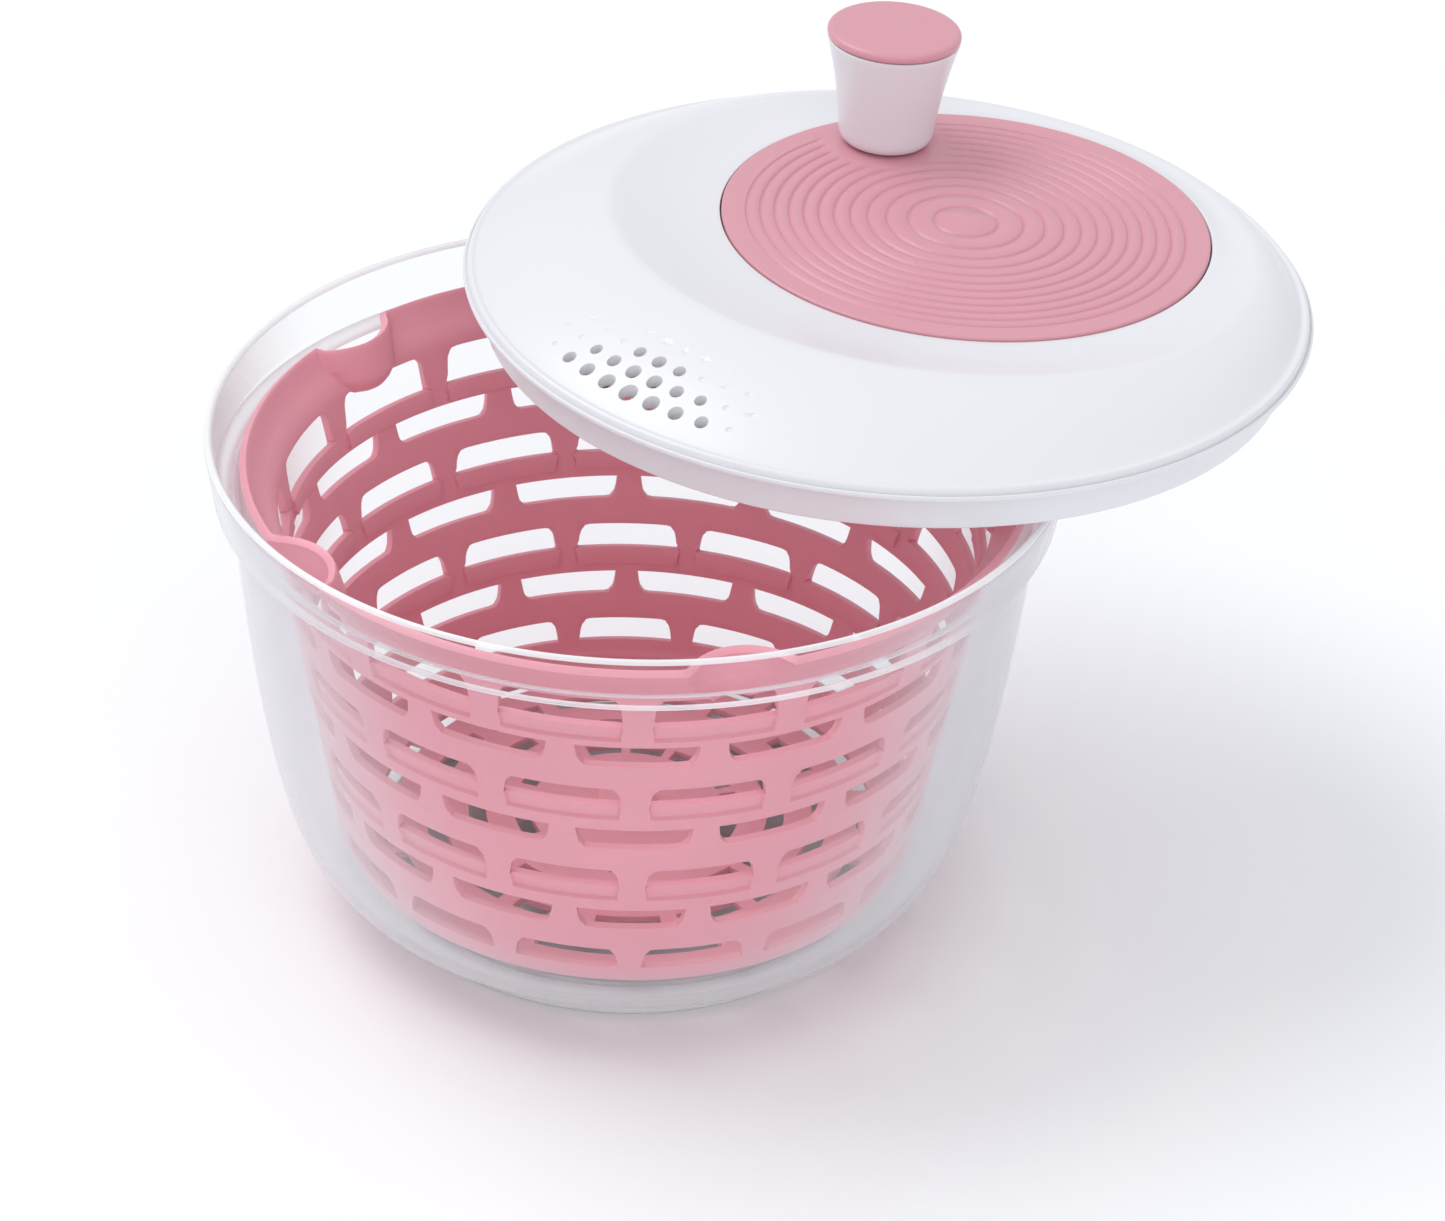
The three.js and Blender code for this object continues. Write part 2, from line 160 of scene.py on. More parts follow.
def placed(name, mesh, material, body, nodes, at=Matrix.Identity(4), modifiers=()):
    """Makes the piece's object from a mesh in mm and says which body it rides on."""
    bmesh.ops.transform(mesh, matrix=at, verts=mesh.verts)
    bmesh.ops.scale(mesh, vec=(MM, MM, MM), verts=mesh.verts)
    data = bpy.data.meshes.new(name)
    mesh.to_mesh(data)
    mesh.free()
    piece = bpy.data.objects.new(name, data)
    bpy.context.collection.objects.link(piece)
    for kind, settings in modifiers:
        modifier = piece.modifiers.new(kind.lower(), kind)
        for key, value in settings.items():
            setattr(modifier, key, value)
    if modifiers:
        graph = bpy.context.evaluated_depsgraph_get()
        baked = bpy.data.meshes.new_from_object(piece.evaluated_get(graph))
        piece.modifiers.clear()
        piece.data = baked
        bpy.data.meshes.remove(data)
        baked.name = name
    piece.data.materials.clear()
    piece.data.materials.append(material)
    piece.data.polygons.foreach_set("use_smooth", [True] * len(piece.data.polygons))
    piece.data.set_sharp_from_angle(angle=math.radians(38))
    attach(piece, body)
    if nodes:
        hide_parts(*nodes)
    return piece


def clear_styrene():
    """Clear moulded styrene: nearly unseen face on, whiter where the wall is seen edge on."""
    material = bpy.data.materials.new("clear_styrene")
    material.use_nodes = True
    tree = material.node_tree
    surface = tree.nodes["Principled BSDF"]
    surface.inputs["Base Color"].default_value = linear("#e6e9ed")
    surface.inputs["Roughness"].default_value = 0.09
    surface.inputs["IOR"].default_value = 1.59
    edge_on = add_node(tree, "ShaderNodeLayerWeight", Blend=0.5)
    cover = add_node(tree, "ShaderNodeMapRange", {"Value": edge_on.outputs["Facing"]},
                     interpolation_type="SMOOTHSTEP")
    cover.inputs["From Min"].default_value = 0.30
    cover.inputs["From Max"].default_value = 0.95
    cover.inputs["To Min"].default_value = 0.025
    cover.inputs["To Max"].default_value = 0.80
    tree.links.new(cover.outputs["Result"], surface.inputs["Alpha"])
    return material


def painted_edge_highlight():
    """Painted highlight: the styrene at its rolled lip and step, painted whiter and more opaque for the
    light that comes out white from inside the wall.
    """
    material = bpy.data.materials.new("clear_styrene_painted_highlight")
    material.use_nodes = True
    surface = material.node_tree.nodes["Principled BSDF"]
    surface.inputs["Base Color"].default_value = linear("#fbfcfe")
    surface.inputs["Roughness"].default_value = 0.12
    surface.inputs["IOR"].default_value = 1.59
    surface.inputs["Alpha"].default_value = 0.78
    return material


STEP = 131.0  # height at which the wall steps out into the collar
bowl_outline = [
    (0, 2.7), (69.6, 2.7), (70.2, 3.3), (70.2, 8.3), (74.6, 8.3),
    *bend((75.4, 8.35), (91, 9.5), (98, 31), 14),
    *bend((98, 31), (107, 58), (112.8, STEP - 1.5), 18)[1:],
    *bend((112.9, STEP - 0.6), (113, STEP + 0.6), (114.6, STEP + 0.7), 4),
    *bend((116.4, STEP + 0.8), (117.4, STEP + 0.9), (117.7, STEP + 2.2), 4),
    *bend((RIM - 0.4, TOP - 3), (RIM, TOP - 1.2), (RIM - 0.9, TOP - 0.3), 5),
    *bend((RIM - 1.2, TOP), (RIM - 2.4, TOP), (RIM - 2.7, TOP - 1.4), 5)[1:],
    *bend((116.0, STEP + 5.4), (115.6, STEP + 3.4), (114.2, STEP + 3.1), 4),
    *bend((112, STEP + 2.7), (110.8, STEP + 2), (110.4, STEP + 0.2), 4),
    *bend((110.4, STEP - 1), (104.6, 58), (95.7, 31.5), 18)[1:],
    *bend((95.7, 31.5), (89, 12), (73, 10.6), 12)[1:],
    *bend((70.5, 9.5), (68.6, 5.5), (65, 5.5), 4), (13, 5.5), *bend((12, 5.6), (10, 6), (9.4, 12.8), 5),
    (8.8, 13.8), (8.2, 14), (2.3, 14), (2.3, 8), (0, 8)]
bowl = placed("bowl_moulding", spun(bowl_outline, 240), clear_styrene(), "bowl", ["bowl"])
bowl.data.materials.append(painted_edge_highlight())
# The lip and the outer step get the painted highlight: a whiter, more opaque copy of the styrene.
for face in bowl.data.polygons:
    level = face.center.z / MM
    outside = math.hypot(face.center.x, face.center.y) / MM > 112.7
    if level > TOP - 1.2 or (outside and STEP - 0.8 < level < STEP + 1.8):
        face.material_index = 1

# ---- Foot ---------------------------------------------------------------------------------
# A white elastomer dish pressed over the bowl's foot so that it doesn't slide or ring.
# It is matt, with a small chamfer at the table and a soft upper edge.


def moulded(name, colour, roughness, grain_mm=0.6, relief_mm=0.012, mottle=0.03, coat=0.0, scatter=0.0):
    """A moulded plastic: faint tone changes from the flow, and the tool's fine grain as relief."""
    material = bpy.data.materials.new(name)
    material.use_nodes = True
    tree = material.node_tree
    surface = tree.nodes["Principled BSDF"]
    place = add_node(tree, "ShaderNodeTexCoord").outputs["Object"]
    flow = add_node(tree, "ShaderNodeTexNoise", {"Vector": place}, Scale=1 / (45 * MM), Detail=2.0)
    deep = linear(colour)
    pale = [min(1.0, c * (1 + mottle)) for c in deep[:3]] + [1.0]
    dark = [c * (1 - mottle) for c in deep[:3]] + [1.0]
    tone = add_node(tree, "ShaderNodeMix", {"Factor": flow.outputs["Fac"]}, data_type="RGBA")
    tone.inputs[6].default_value = dark
    tone.inputs[7].default_value = pale
    tree.links.new(tone.outputs[2], surface.inputs["Base Color"])
    grain = add_node(tree, "ShaderNodeTexNoise", {"Vector": place},
                     Scale=1 / (grain_mm * MM), Detail=3.0)
    sheen = add_node(tree, "ShaderNodeMapRange", {"Value": flow.outputs["Fac"]})
    sheen.inputs["To Min"].default_value = roughness * 0.88
    sheen.inputs["To Max"].default_value = roughness * 1.12
    tree.links.new(sheen.outputs["Result"], surface.inputs["Roughness"])
    relief = add_node(tree, "ShaderNodeBump", {"Height": grain.outputs["Fac"]}, Strength=1.0)
    relief.inputs["Distance"].default_value = relief_mm * MM
    tree.links.new(relief.outputs["Normal"], surface.inputs["Normal"])
    surface.inputs["IOR"].default_value = 1.5
    surface.inputs["Coat Weight"].default_value = coat
    surface.inputs["Coat Roughness"].default_value = 0.12
    surface.inputs["Subsurface Weight"].default_value = scatter
    surface.inputs["Subsurface Scale"].default_value = 0.002
    surface.inputs["Subsurface Radius"].default_value = (1.0, 0.8, 0.75)
    return material


FOOT = (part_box("foot_cap")[1].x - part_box("foot_cap")[0].x) / 2 / MM
# Thermoplastic elastomer: soft white, with a matt skin that scatters the light.
white_elastomer = moulded("white_elastomer", "#e6e6e5", 0.5, grain_mm=0.8, relief_mm=0.02)
foot_outline = [
    (0, 0), (FOOT - 1.6, 0), *bend((FOOT - 1.2, 0.1), (FOOT - 0.2, 0.9), (FOOT, 1.9), 4),
    (FOOT, 6.9), *bend((FOOT, 7.4), (FOOT, 8), (FOOT - 0.8, 8), 4)[1:], (71.1, 8), (70.6, 7.5),
    (70.5, 2.4), (0, 2.4)]
placed("foot_dish", spun(foot_outline, 180), white_elastomer, "bowl", ["foot_cap"])

# ---- Basket -------------------------------------------------------------------------------
# A rose polypropylene basket, moulded in one: a tapered wall with seven rows of openings in a
# brick bond, a flared lip with five scooped pockets for the drive, and a slotted floor.
BASKET_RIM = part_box("basket")[1].z / MM
ROWS = 7
COLUMNS = 15
PITCH = 15.2  # row to row
LOWEST = 28.4
RIB_ANGLE = -88.6  # middle of a rib in the rows counted 0, 2, 4 and 6
HALF_OPENING = 9.5  # degrees either side of an opening's middle
SHELF = 4.3  # height of the shelf under every second row
WALL = 2.2


def wall_radius(z):
    return 84.9 + 0.176 * (z - LOWEST)


def row_span(row):
    middle = LOWEST + PITCH * row
    half = 5.3 if row == ROWS - 1 else 3.5
    return middle - half, middle + half


def stepped(low, high, cells):
    return [low + (high - low) * k / cells for k in range(cells)]


FLOOR_ROWS = [(67, 72), (54, 59), (41, 46), (28, 33)]  # radii of the rings of floor slots
floor_radii = [10, 16, 22]
for inner, outer in reversed(FLOOR_ROWS):
    floor_radii += stepped(inner, outer, 2) + [outer, outer + 4]
heights = []
for row in range(ROWS):
    low, high = row_span(row)
    if row:
        before = row_span(row - 1)[1]
        heights += stepped(before, low - 4.4, 2) + stepped(low - 4.4, low, 2)
    heights += stepped(low, high, 4)
heights.append(row_span(ROWS - 1)[1])
LIP = heights[-1]
basket_outline = (
    [(0, 24.3), (5.6, 24.3), (6.3, 23.6), (6.3, 18.6), (6.9, 17.9)] + [(r, 17.9) for r in floor_radii]
    + bend((79.4, 17.9), (82.8, 18), (wall_radius(22.4), 22.4), 5)
    + [(wall_radius(z), z) for z in heights]
    + bend((wall_radius(LIP + 0.8), LIP + 0.8), (103.2, LIP + 3), (104.6, LIP + 4.4), 4)
    + bend((105.6, LIP + 5.4), (108.4, BASKET_RIM - 4), (109.7, BASKET_RIM - 0.6), 6)
    + [(110.1, BASKET_RIM - 0.1)])
basket = spun(basket_outline, 360, math.radians(RIB_ANGLE + 0.5))


def columns_from(vector, start):
    """Degrees round from the nearest middle of a column of openings that starts at start."""
    angle = math.degrees(math.atan2(vector.y, vector.x)) - start
    spacing = 360 / COLUMNS
    return (angle + spacing / 2) % spacing - spacing / 2


def column_start(row):
    return RIB_ANGLE + (0 if row % 2 else 180 / COLUMNS)


ledges = []
doomed = []
for face in basket.faces:
    middle = face.calc_center_median()
    radius = math.hypot(middle.x, middle.y)
    if middle.z < 18.5:
        for row, (inner, outer) in enumerate(FLOOR_ROWS):
            if inner < radius < outer and abs(columns_from(middle, column_start(row))) < HALF_OPENING:
                doomed.append(face)
        continue
    for row in range(ROWS):
        low, high = row_span(row)
        inside = abs(columns_from(middle, column_start(row))) < HALF_OPENING
        if inside and low < middle.z < high:
            doomed.append(face)
        elif inside and row and row % 2 == 0 and low - SHELF < middle.z < low:
            ledges.append(face)
bmesh.ops.delete(basket, geom=doomed, context="FACES")
ledges = [face for face in ledges if face.is_valid]
CORNER = 3.0  # radius of the openings' round corners
TAPER = 0.5  # half of how much a side moves out towards the sharp corners


def rounded_opening(vertex, row):
    """Moves a vertex on an opening's edge so that two of its corners are round."""
    low, high = row_span(row)
    radius = math.hypot(vertex.co.x, vertex.co.y)
    start = column_start(row)
    across = math.radians(columns_from(vertex.co, start)) * radius
    half = math.radians(HALF_OPENING) * radius
    up = -1 if row % 2 else 1  # which end of the opening is rounded
    end = high if up > 0 else low
    dx = abs(across) - (half - CORNER)
    dz = (vertex.co.z - end) * up + CORNER
    shift = 0.0
    rise = 0.0
    if dx > 0 and dz > 0:
        reach = math.hypot(dx, dz)
        shift = dx * (CORNER / reach - 1) if reach > CORNER else 0
        rise = dz * (CORNER / reach - 1) * up if reach > CORNER else 0
    if abs(across) > half - 0.1:
        shift += TAPER * (2 * abs(end - vertex.co.z) / (high - low) - 1)
    vertex.co.z += rise
    turn = shift / radius if across > 0 else -shift / radius
    vertex.co = Matrix.Rotation(turn, 3, "Z") @ vertex.co


for vertex in [v for v in basket.verts if v.is_boundary and 20 < v.co.z < LIP + 0.3]:
    row = min(range(ROWS), key=lambda k: abs(vertex.co.z - LOWEST - PITCH * k))
    rounded_opening(vertex, row)

# A shallow shelf under every second row, where the two halves of the mould shut off.
bmesh.ops.inset_region(basket, faces=ledges, thickness=0.45, depth=-1.1, use_boundary=False,
                       use_even_offset=True)

POCKETS = 5
POCKET_ANGLE = RIB_ANGLE + 180 / COLUMNS + 2.2
POCKET_HALF, POCKET_DEPTH, POCKET_DROP = 13.5, 9.5, 13.5
for vertex in basket.verts:
    if vertex.co.z < BASKET_RIM - POCKET_DROP:
        continue
    radius = math.hypot(vertex.co.x, vertex.co.y)
    angle = math.degrees(math.atan2(vertex.co.y, vertex.co.x)) - POCKET_ANGLE
    spacing = 360 / POCKETS
    across = math.radians((angle + spacing / 2) % spacing - spacing / 2) * radius
    down = (BASKET_RIM - vertex.co.z) / POCKET_DROP
    left = 1 - (across / POCKET_HALF) ** 2 - down ** 2
    if left > 0:
        scale = 1 - POCKET_DEPTH * left ** 0.62 / radius
        vertex.co.x *= scale
        vertex.co.y *= scale

# Polypropylene moulded in a satin tool: a soft sheen, and a little light carried inside the wall.
rose_polypropylene = moulded("rose_polypropylene", "#eda2b0", 0.4, grain_mm=0.7, relief_mm=0.01,
                             scatter=0.15)
placed("basket_moulding", basket, rose_polypropylene, "basket", ["basket"], modifiers=[
    ("SOLIDIFY", {"thickness": WALL * MM, "offset": -1, "use_even_offset": True}),
    ("BEVEL", {"width": 0.3 * MM, "segments": 2, "limit_method": "ANGLE",
               "angle_limit": math.radians(50)})])

# ---- Lid shell ----------------------------------------------------------------------------
# A white ABS dome. A beaded edge with a fine groove, a soft ridge round an off-centre dish for
# the crank, and pouring holes opposite it that fade out into dimples.
JOINTS = {joint["name"]: joint for joint in frame["joints"]}
DRIVE_DROP = 10.0  # the drive's joint is this far below the lid's edge plane


def joint_place(name):
    return Vector(JOINTS[name]["pos_m"]) / MM


lean = Vector((0, 0, 1)).rotation_difference(Vector(JOINTS["crank_spin"]["axis"]))
EDGE_PLANE = (Matrix.Translation(joint_place("drive_spin")) @ lean.to_matrix().to_4x4()
              @ Matrix.Translation((0, 0, DRIVE_DROP)))
disc_place = EDGE_PLANE.inverted() @ joint_place("crank_spin")
knob_place = EDGE_PLANE.inverted() @ joint_place("knob_spin")
TURN = math.atan2(disc_place.y, disc_place.x)
OFFSET = math.hypot(disc_place.x, disc_place.y)
DISC_TOP = disc_place.z
ON_LID = EDGE_PLANE @ Matrix.Rotation(TURN, 4, "Z")


def between(a, b, share, crown=0.0):
    ring = [p + (q - p) * share for p, q in zip(a, b)]
    ring[2] += crown
    return ring


def lofted(rings, segments):
    """Circles listed as (offset, radius, height, tilt), joined one to the next and round again."""
    mesh = bmesh.new()
    loops = []
    for offset, radius, height, tilt in rings:
        made = bmesh.ops.create_circle(mesh, radius=radius, segments=segments)["verts"]
        for vertex in made:
            vertex.co.z = height + tilt * vertex.co.x / radius
            vertex.co.x += offset
        loops.append(list({edge for vertex in made for edge in vertex.link_edges}))
    for first, second in zip(loops, loops[1:] + loops[:1]):
        bmesh.ops.bridge_loops(mesh, edges=first + second)
    bmesh.ops.recalc_face_normals(mesh, faces=mesh.faces)
    return mesh


RIDGE = (18.0, 93.5, 11.0, -5.0)
EDGE_INNER = (0.0, 117.2, 1.3, 0.0)
WELL = 71.2
DISH = (OFFSET, WELL + 0.3, DISC_TOP - 0.7, 0.0)
UNDER_RIDGE = (18.6, 91.9, 8.7, -5.0)
UNDER_EDGE = (0.0, 114.5, -1.0, 0.0)
OUTER_STEPS, UNDER_STEPS = 18, 8
rings = [(0, radius, height, 0) for radius, height in (
    (117.5, -1.1), (118.2, -2.3), (120.5, -2.3), (121.1, -1.9), (121.3, -1.2), (121.1, -0.7),
    (120.7, -0.55), (120.45, -0.9), (120.1, -0.9), (120.0, -0.2), (119.9, 0.7), (119.5, 1.2), (118.9, 1.35),
    (118.4, 1.2), (118.0, 1.05), (117.6, 1.15))]
rings += [between(EDGE_INNER, RIDGE, k / OUTER_STEPS, 1.5 * math.sin(math.pi * k / OUTER_STEPS))
          for k in range(OUTER_STEPS)]
rings += [between(RIDGE, DISH, share, crown) for share, crown in (
    (0.0, -0.10), (0.04, -0.05), (0.09, -0.1), (0.16, -0.25), (0.3, -0.55), (0.45, -0.75),
    (0.6, -0.8), (0.75, -0.65), (0.88, -0.35))]
rings += [(OFFSET, radius, height, 0) for radius, height in (
    (WELL + 0.3, DISC_TOP - 0.7), (WELL + 0.1, DISC_TOP - 0.75), (WELL, DISC_TOP - 1.0), (WELL, 3.4),
    (59, 3.4), (47.5, 3.4), (47.5, -2.6), (8, -2.6), (8, 5.2), (5.3, 5.2), (5.3, -4.6), (49.6, -4.6),
    (49.6, 1.3), (73.2, 1.3))]
rings += [between(UNDER_RIDGE, UNDER_EDGE, k / UNDER_STEPS, 1.3 * math.sin(math.pi * k / UNDER_STEPS))
          for k in range(UNDER_STEPS + 1)]
lid_shell = lofted(rings, 240)

# Each row's radius, the dome's height there, its places, and how many of them go through.
HOLE_ROWS = ((110.4, 4.6, 9, 7), (104.4, 7.2, 10, 6), (98.4, 9.6, 9, 3), (92.4, 11.8, 6, 0))
HOLE_MIDDLE, HOLE_PITCH = 182, 4.2


def hole_cutters():
    """Round bars for the pouring holes, and small balls that leave the dimples round them."""
    cutters = bmesh.new()
    for index, (radius, height, places, through) in enumerate(HOLE_ROWS):
        for k in range(places):
            from_middle = k - (places - 1) / 2
            away = abs(from_middle)
            turn = Matrix.Rotation(math.radians(HOLE_MIDDLE + HOLE_PITCH * from_middle), 4, "Z")
            size = 2.65 - 0.25 * away - 0.3 * index
            if away < through / 2:
                bmesh.ops.create_cone(cutters, cap_ends=True, segments=32, radius1=size, radius2=size,
                                      depth=30, matrix=turn @ Matrix.Translation((radius, 0, 0)))
            else:
                ball = turn @ Matrix.Translation((radius, 0, height + 0.75))
                bmesh.ops.create_uvsphere(cutters, u_segments=16, v_segments=10, matrix=ball,
                                          radius=max(0.9, 1.35 - 0.12 * (away - through / 2)))
    return cutters


def cutting_tool(name, mesh):
    """An object in the lid's place for a boolean, from a mesh in mm."""
    bmesh.ops.transform(mesh, matrix=Matrix.Scale(MM, 4) @ ON_LID, verts=mesh.verts)
    data = bpy.data.meshes.new(name)
    mesh.to_mesh(data)
    mesh.free()
    tool = bpy.data.objects.new(name, data)
    bpy.context.collection.objects.link(tool)
    return tool


cutter = cutting_tool("hole_cutters", hole_cutters())
# ABS from a finely polished tool: an even white with a clean, soft highlight.
white_abs = moulded("white_abs", "#e8e8ec", 0.3, grain_mm=0.9, relief_mm=0.004, mottle=0.008, coat=0.15)
placed("lid_dome", lid_shell, white_abs, "lid", ["lid_shell"], ON_LID, modifiers=[
    ("BOOLEAN", {"operation": "DIFFERENCE", "object": cutter, "solver": "EXACT"})])
bpy.data.objects.remove(cutter)

# ---- Lid base -----------------------------------------------------------------------------
# The white lower cover, snapped and screwed under the dome. Its skirt drops inside the bowl's
# collar, and its floor closes off the gears.
SKIRT = (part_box("lid_base")[1].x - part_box("lid_base")[0].x) / 2 / MM
SKIRT_END = -13.8  # 1.6 mm narrower there, so that it drops into the collar easily
base_outline = [
    (SKIRT - 2, -1.6), (SKIRT, -1.6), (SKIRT - 1.5, SKIRT_END + 0.9),
    *bend((SKIRT - 1.5, SKIRT_END + 0.6), (SKIRT - 1.6, SKIRT_END), (SKIRT - 2.2, SKIRT_END), 4),
    *bend((SKIRT - 2.8, SKIRT_END), (SKIRT - 3.5, SKIRT_END), (SKIRT - 3.5, SKIRT_END + 0.5), 3),
    (SKIRT - 3.4, -12.6), (SKIRT - 4, -12), (7.9, -12), (7.5, -11.6), (7.5, -10.6), (7.9, -10.2),
    (SKIRT - 3.1, -10.2), (SKIRT - 2, -1.6)]
drain = bmesh.new()
bmesh.ops.create_cube(drain, size=1)
bmesh.ops.scale(drain, vec=(20, 44, 6), verts=drain.verts)
bmesh.ops.translate(drain, vec=(-100, 0, -12), verts=drain.verts)
upright = [edge for edge in drain.edges if abs(edge.verts[0].co.z - edge.verts[1].co.z) > 1]
bmesh.ops.bevel(drain, geom=upright, offset=4, segments=6, profile=0.5, affect="EDGES", material=-1)
bmesh.ops.rotate(drain, cent=(0, 0, 0), verts=drain.verts,
                 matrix=Matrix.Rotation(math.radians(HOLE_MIDDLE - 180), 3, "Z"))
drain_cutter = cutting_tool("drain_cutter", drain)
placed("lid_cover", spun(base_outline, 240), white_abs, "lid", ["lid_base"],
       EDGE_PLANE, modifiers=[
           ("BOOLEAN", {"operation": "DIFFERENCE", "object": drain_cutter, "solver": "EXACT"})])
bpy.data.objects.remove(drain_cutter)

# ---- Crank disc ---------------------------------------------------------------------------
# A rose disc with fine turned grooves, closer together towards its edge, and a smooth land
# where the knob stands.
disc_low, disc_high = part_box("crank_disc")
DISC = (disc_high.x - disc_low.x) / 2 / MM
GROOVES = 12
GROOVE_HALF, GROOVE_DEPTH = 0.75, 0.58
# ABS from a lightly textured tool: an even rose with a satin sheen.
rose_abs = moulded("rose_abs", "#d999a6", 0.3, grain_mm=0.7, relief_mm=0.008, mottle=0.02, scatter=0.05)


def groove_radius(k):
    return 4.08 * k + 14.7 * (1 - math.exp(-k / 2.3))


disc_outline = [(0, 4), (1.6, 4), (1.6, -4.2), (5, -4.2),
                (5, DISC_TOP - 2.4), (DISC - 1, DISC_TOP - 2.4),
                *bend((DISC - 0.4, DISC_TOP - 2.3), (DISC, DISC_TOP - 2), (DISC, DISC_TOP - 1.2), 4),
                *bend((DISC, DISC_TOP - 0.8), (DISC, DISC_TOP), (DISC - 1.0, DISC_TOP), 6)]
ACROSS_GROOVE = (1.0, 0.66, 0.33, 0, -0.33, -0.66, -1)
for k in range(GROOVES, 0, -1):
    middle = groove_radius(k)
    disc_outline += [(middle + GROOVE_HALF * t, DISC_TOP - GROOVE_DEPTH * (1 - t * t) ** 2)
                     for t in (ACROSS_GROOVE[1:] if k == GROOVES else ACROSS_GROOVE)]
disc_outline.append((0, DISC_TOP))
disc = spun(disc_outline, 300)
LAND = 17.5
knob_on_disc = (knob_place - disc_place).xy
for vertex in disc.verts:
    if DISC_TOP - 0.6 < vertex.co.z < DISC_TOP and math.hypot(vertex.co.x, vertex.co.y) < DISC - 1.2:
        away = (vertex.co.xy - knob_on_disc).length
        fade = min(1, max(0, (away - LAND) / 3))
        vertex.co.z = DISC_TOP + (vertex.co.z - DISC_TOP) * fade * fade * (3 - 2 * fade)
placed("crank_disc_moulding", disc, rose_abs, "crank", ["crank_disc"],
       EDGE_PLANE @ Matrix.Translation((disc_place.x, disc_place.y, 0)))

# ---- Knob ---------------------------------------------------------------------------------
# A white ABS cup that flares upward and turns freely on a steel stud in the disc.
# A rose cap with a soft edge presses into its mouth and hides the screw.
CUP = (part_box("knob_body")[1].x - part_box("knob_body")[0].x) / 2 / MM
CUP_TOP = 33.6
KNOB_TOP = 36.6
cup_outline = [
    (3.3, 1.6), (7.6, 1.6), (7.6, 0.4), *bend((10.4, 0.4), (13.7, 0.5), (14.2, 4.2), 10),
    *bend((14.2, 4.2), (15.4, 18), (CUP, CUP_TOP - 0.4), 20)[1:],
    *bend((CUP, CUP_TOP - 0.2), (CUP - 0.1, CUP_TOP), (CUP - 0.5, CUP_TOP), 3), (CUP - 1.9, CUP_TOP),
    *bend((CUP - 1.9, CUP_TOP - 0.4), (13.4, 18), (12.2, 6), 12), (11.4, 4.8), (6.5, 4.6), (6.5, 26.7),
    (3.3, 26.7), (3.3, 1.6)]
ON_KNOB = EDGE_PLANE @ Matrix.Translation(knob_place)
placed("knob_cup", spun(cup_outline, 128), white_abs, "knob", ["knob_body"], ON_KNOB)
CAP = CUP + 0.2
cap_outline = [
    (0, CUP_TOP - 2), (15.6, CUP_TOP - 2), (16, CUP_TOP - 1.6), (16, CUP_TOP + 0.3),
    (CAP - 0.7, CUP_TOP + 0.3),
    *bend((CAP - 0.3, CUP_TOP + 0.4), (CAP, CUP_TOP + 0.6), (CAP, CUP_TOP + 1.2), 3),
    *bend((CAP, CUP_TOP + 1.5), (CAP - 0.1, KNOB_TOP - 0.1), (CAP - 2.2, KNOB_TOP), 8),
    (CAP - 6, KNOB_TOP), (0, KNOB_TOP)]
placed("knob_cap_moulding", spun(cap_outline, 128), rose_abs, "knob", ["knob_cap"],
       ON_KNOB)

# ---- Drive plate --------------------------------------------------------------------------
# The white spider under the lid: a hub plate with five ribbed arms, each with a lug that drops
# into a pocket of the basket's lip.
PLATE_ARMS = 5
hub_outline = [(1.7, -21), (9, -21), (10, -20), (10, -15.4), (45.2, -15.4), (46, -14.8), (46, -13.8),
               (45.2, -13.2), (10, -13.2), (10, -12.6), (3.3, -12.6), (3.3, -19.3), (1.7, -19.3),
               (1.7, -21)]


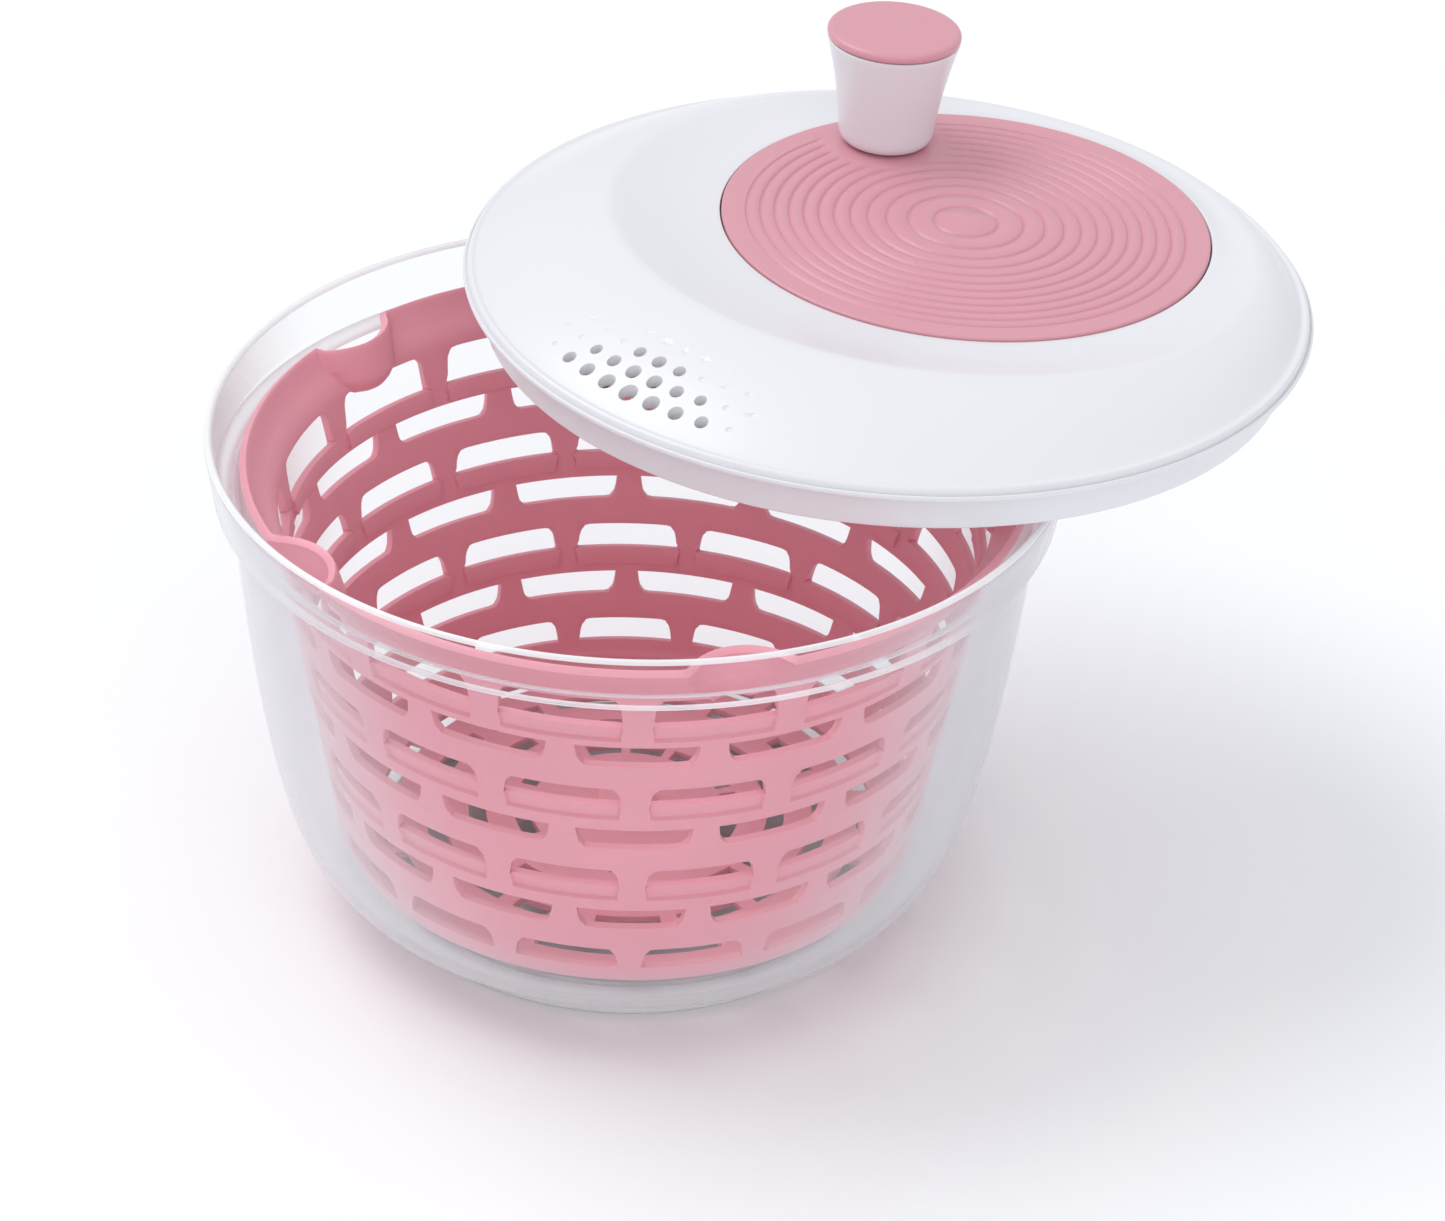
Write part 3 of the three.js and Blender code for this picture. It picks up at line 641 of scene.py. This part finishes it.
def boxed(mesh, size, at, turn):
    """A block with soft edges, joined loosely into the mesh."""
    made = bmesh.ops.create_cube(mesh, size=1)["verts"]
    bmesh.ops.scale(mesh, vec=size, verts=made)
    bmesh.ops.translate(mesh, vec=at, verts=made)
    bmesh.ops.rotate(mesh, cent=(0, 0, 0), matrix=Matrix.Rotation(turn, 3, "Z"), verts=made)
    edges = list({edge for vertex in made for edge in vertex.link_edges})
    bmesh.ops.bevel(mesh, geom=edges, offset=0.6, segments=2, profile=0.5, affect="EDGES", material=-1)


spider = spun(hub_outline, 120)
for k in range(PLATE_ARMS):
    turn = 2 * math.pi * k / PLATE_ARMS
    boxed(spider, (66, 16, 2.2), (68, 0, -14.3), turn)
    boxed(spider, (8, 14, 4.3), (100, 0, -15.35), turn)
placed("drive_spider", spider, white_abs, "drive", ["drive_plate"], ON_LID)

# ---- Metal and running pieces -------------------------------------------------------------
# Turned stainless pin, shaft, stud and screws, and natural acetal bushes and gears. They are
# small plain turnings, so the CAD solids are shown with their own finishes.


def turned_steel():
    """Stainless bar: bright, with fine rings left by the lathe tool about 0.15 mm apart."""
    material = bpy.data.materials.new("turned_stainless")
    material.use_nodes = True
    tree = material.node_tree
    surface = tree.nodes["Principled BSDF"]
    surface.inputs["Base Color"].default_value = linear("#c3c5c8")
    surface.inputs["Metallic"].default_value = 1.0
    surface.inputs["Roughness"].default_value = 0.28
    place = add_node(tree, "ShaderNodeTexCoord").outputs["Object"]
    rings_seen = add_node(tree, "ShaderNodeTexWave", {"Vector": place}, wave_type="BANDS",
                          bands_direction="Z", Scale=1 / (0.15 * MM) / 20)
    relief = add_node(tree, "ShaderNodeBump", {"Height": rings_seen.outputs["Fac"]}, Strength=0.4)
    relief.inputs["Distance"].default_value = 0.01 * MM
    tree.links.new(relief.outputs["Normal"], surface.inputs["Normal"])
    return material


stainless = turned_steel()
# Natural acetal: off-white and slightly waxy.
acetal = moulded("natural_acetal", "#e6e3da", 0.42, grain_mm=0.5, relief_mm=0.008, mottle=0.02)
METAL = ["pivot_pin", "disc_washer", "disc_screw", "knob_axle", "knob_screw", "drive_shaft",
         "shaft_clip", "drive_screw"] + [f"lid_screw_{k}" for k in (1, 2, 3, 4)]
RUNNING = ["basket_bush", "shaft_bush", "ring_gear", "drive_pinion"]
for names, material in ((METAL, stainless), (RUNNING, acetal)):
    for name in names:
        mesh_data = frame["nodes"][name].data
        mesh_data.materials.clear()
        mesh_data.materials.append(material)
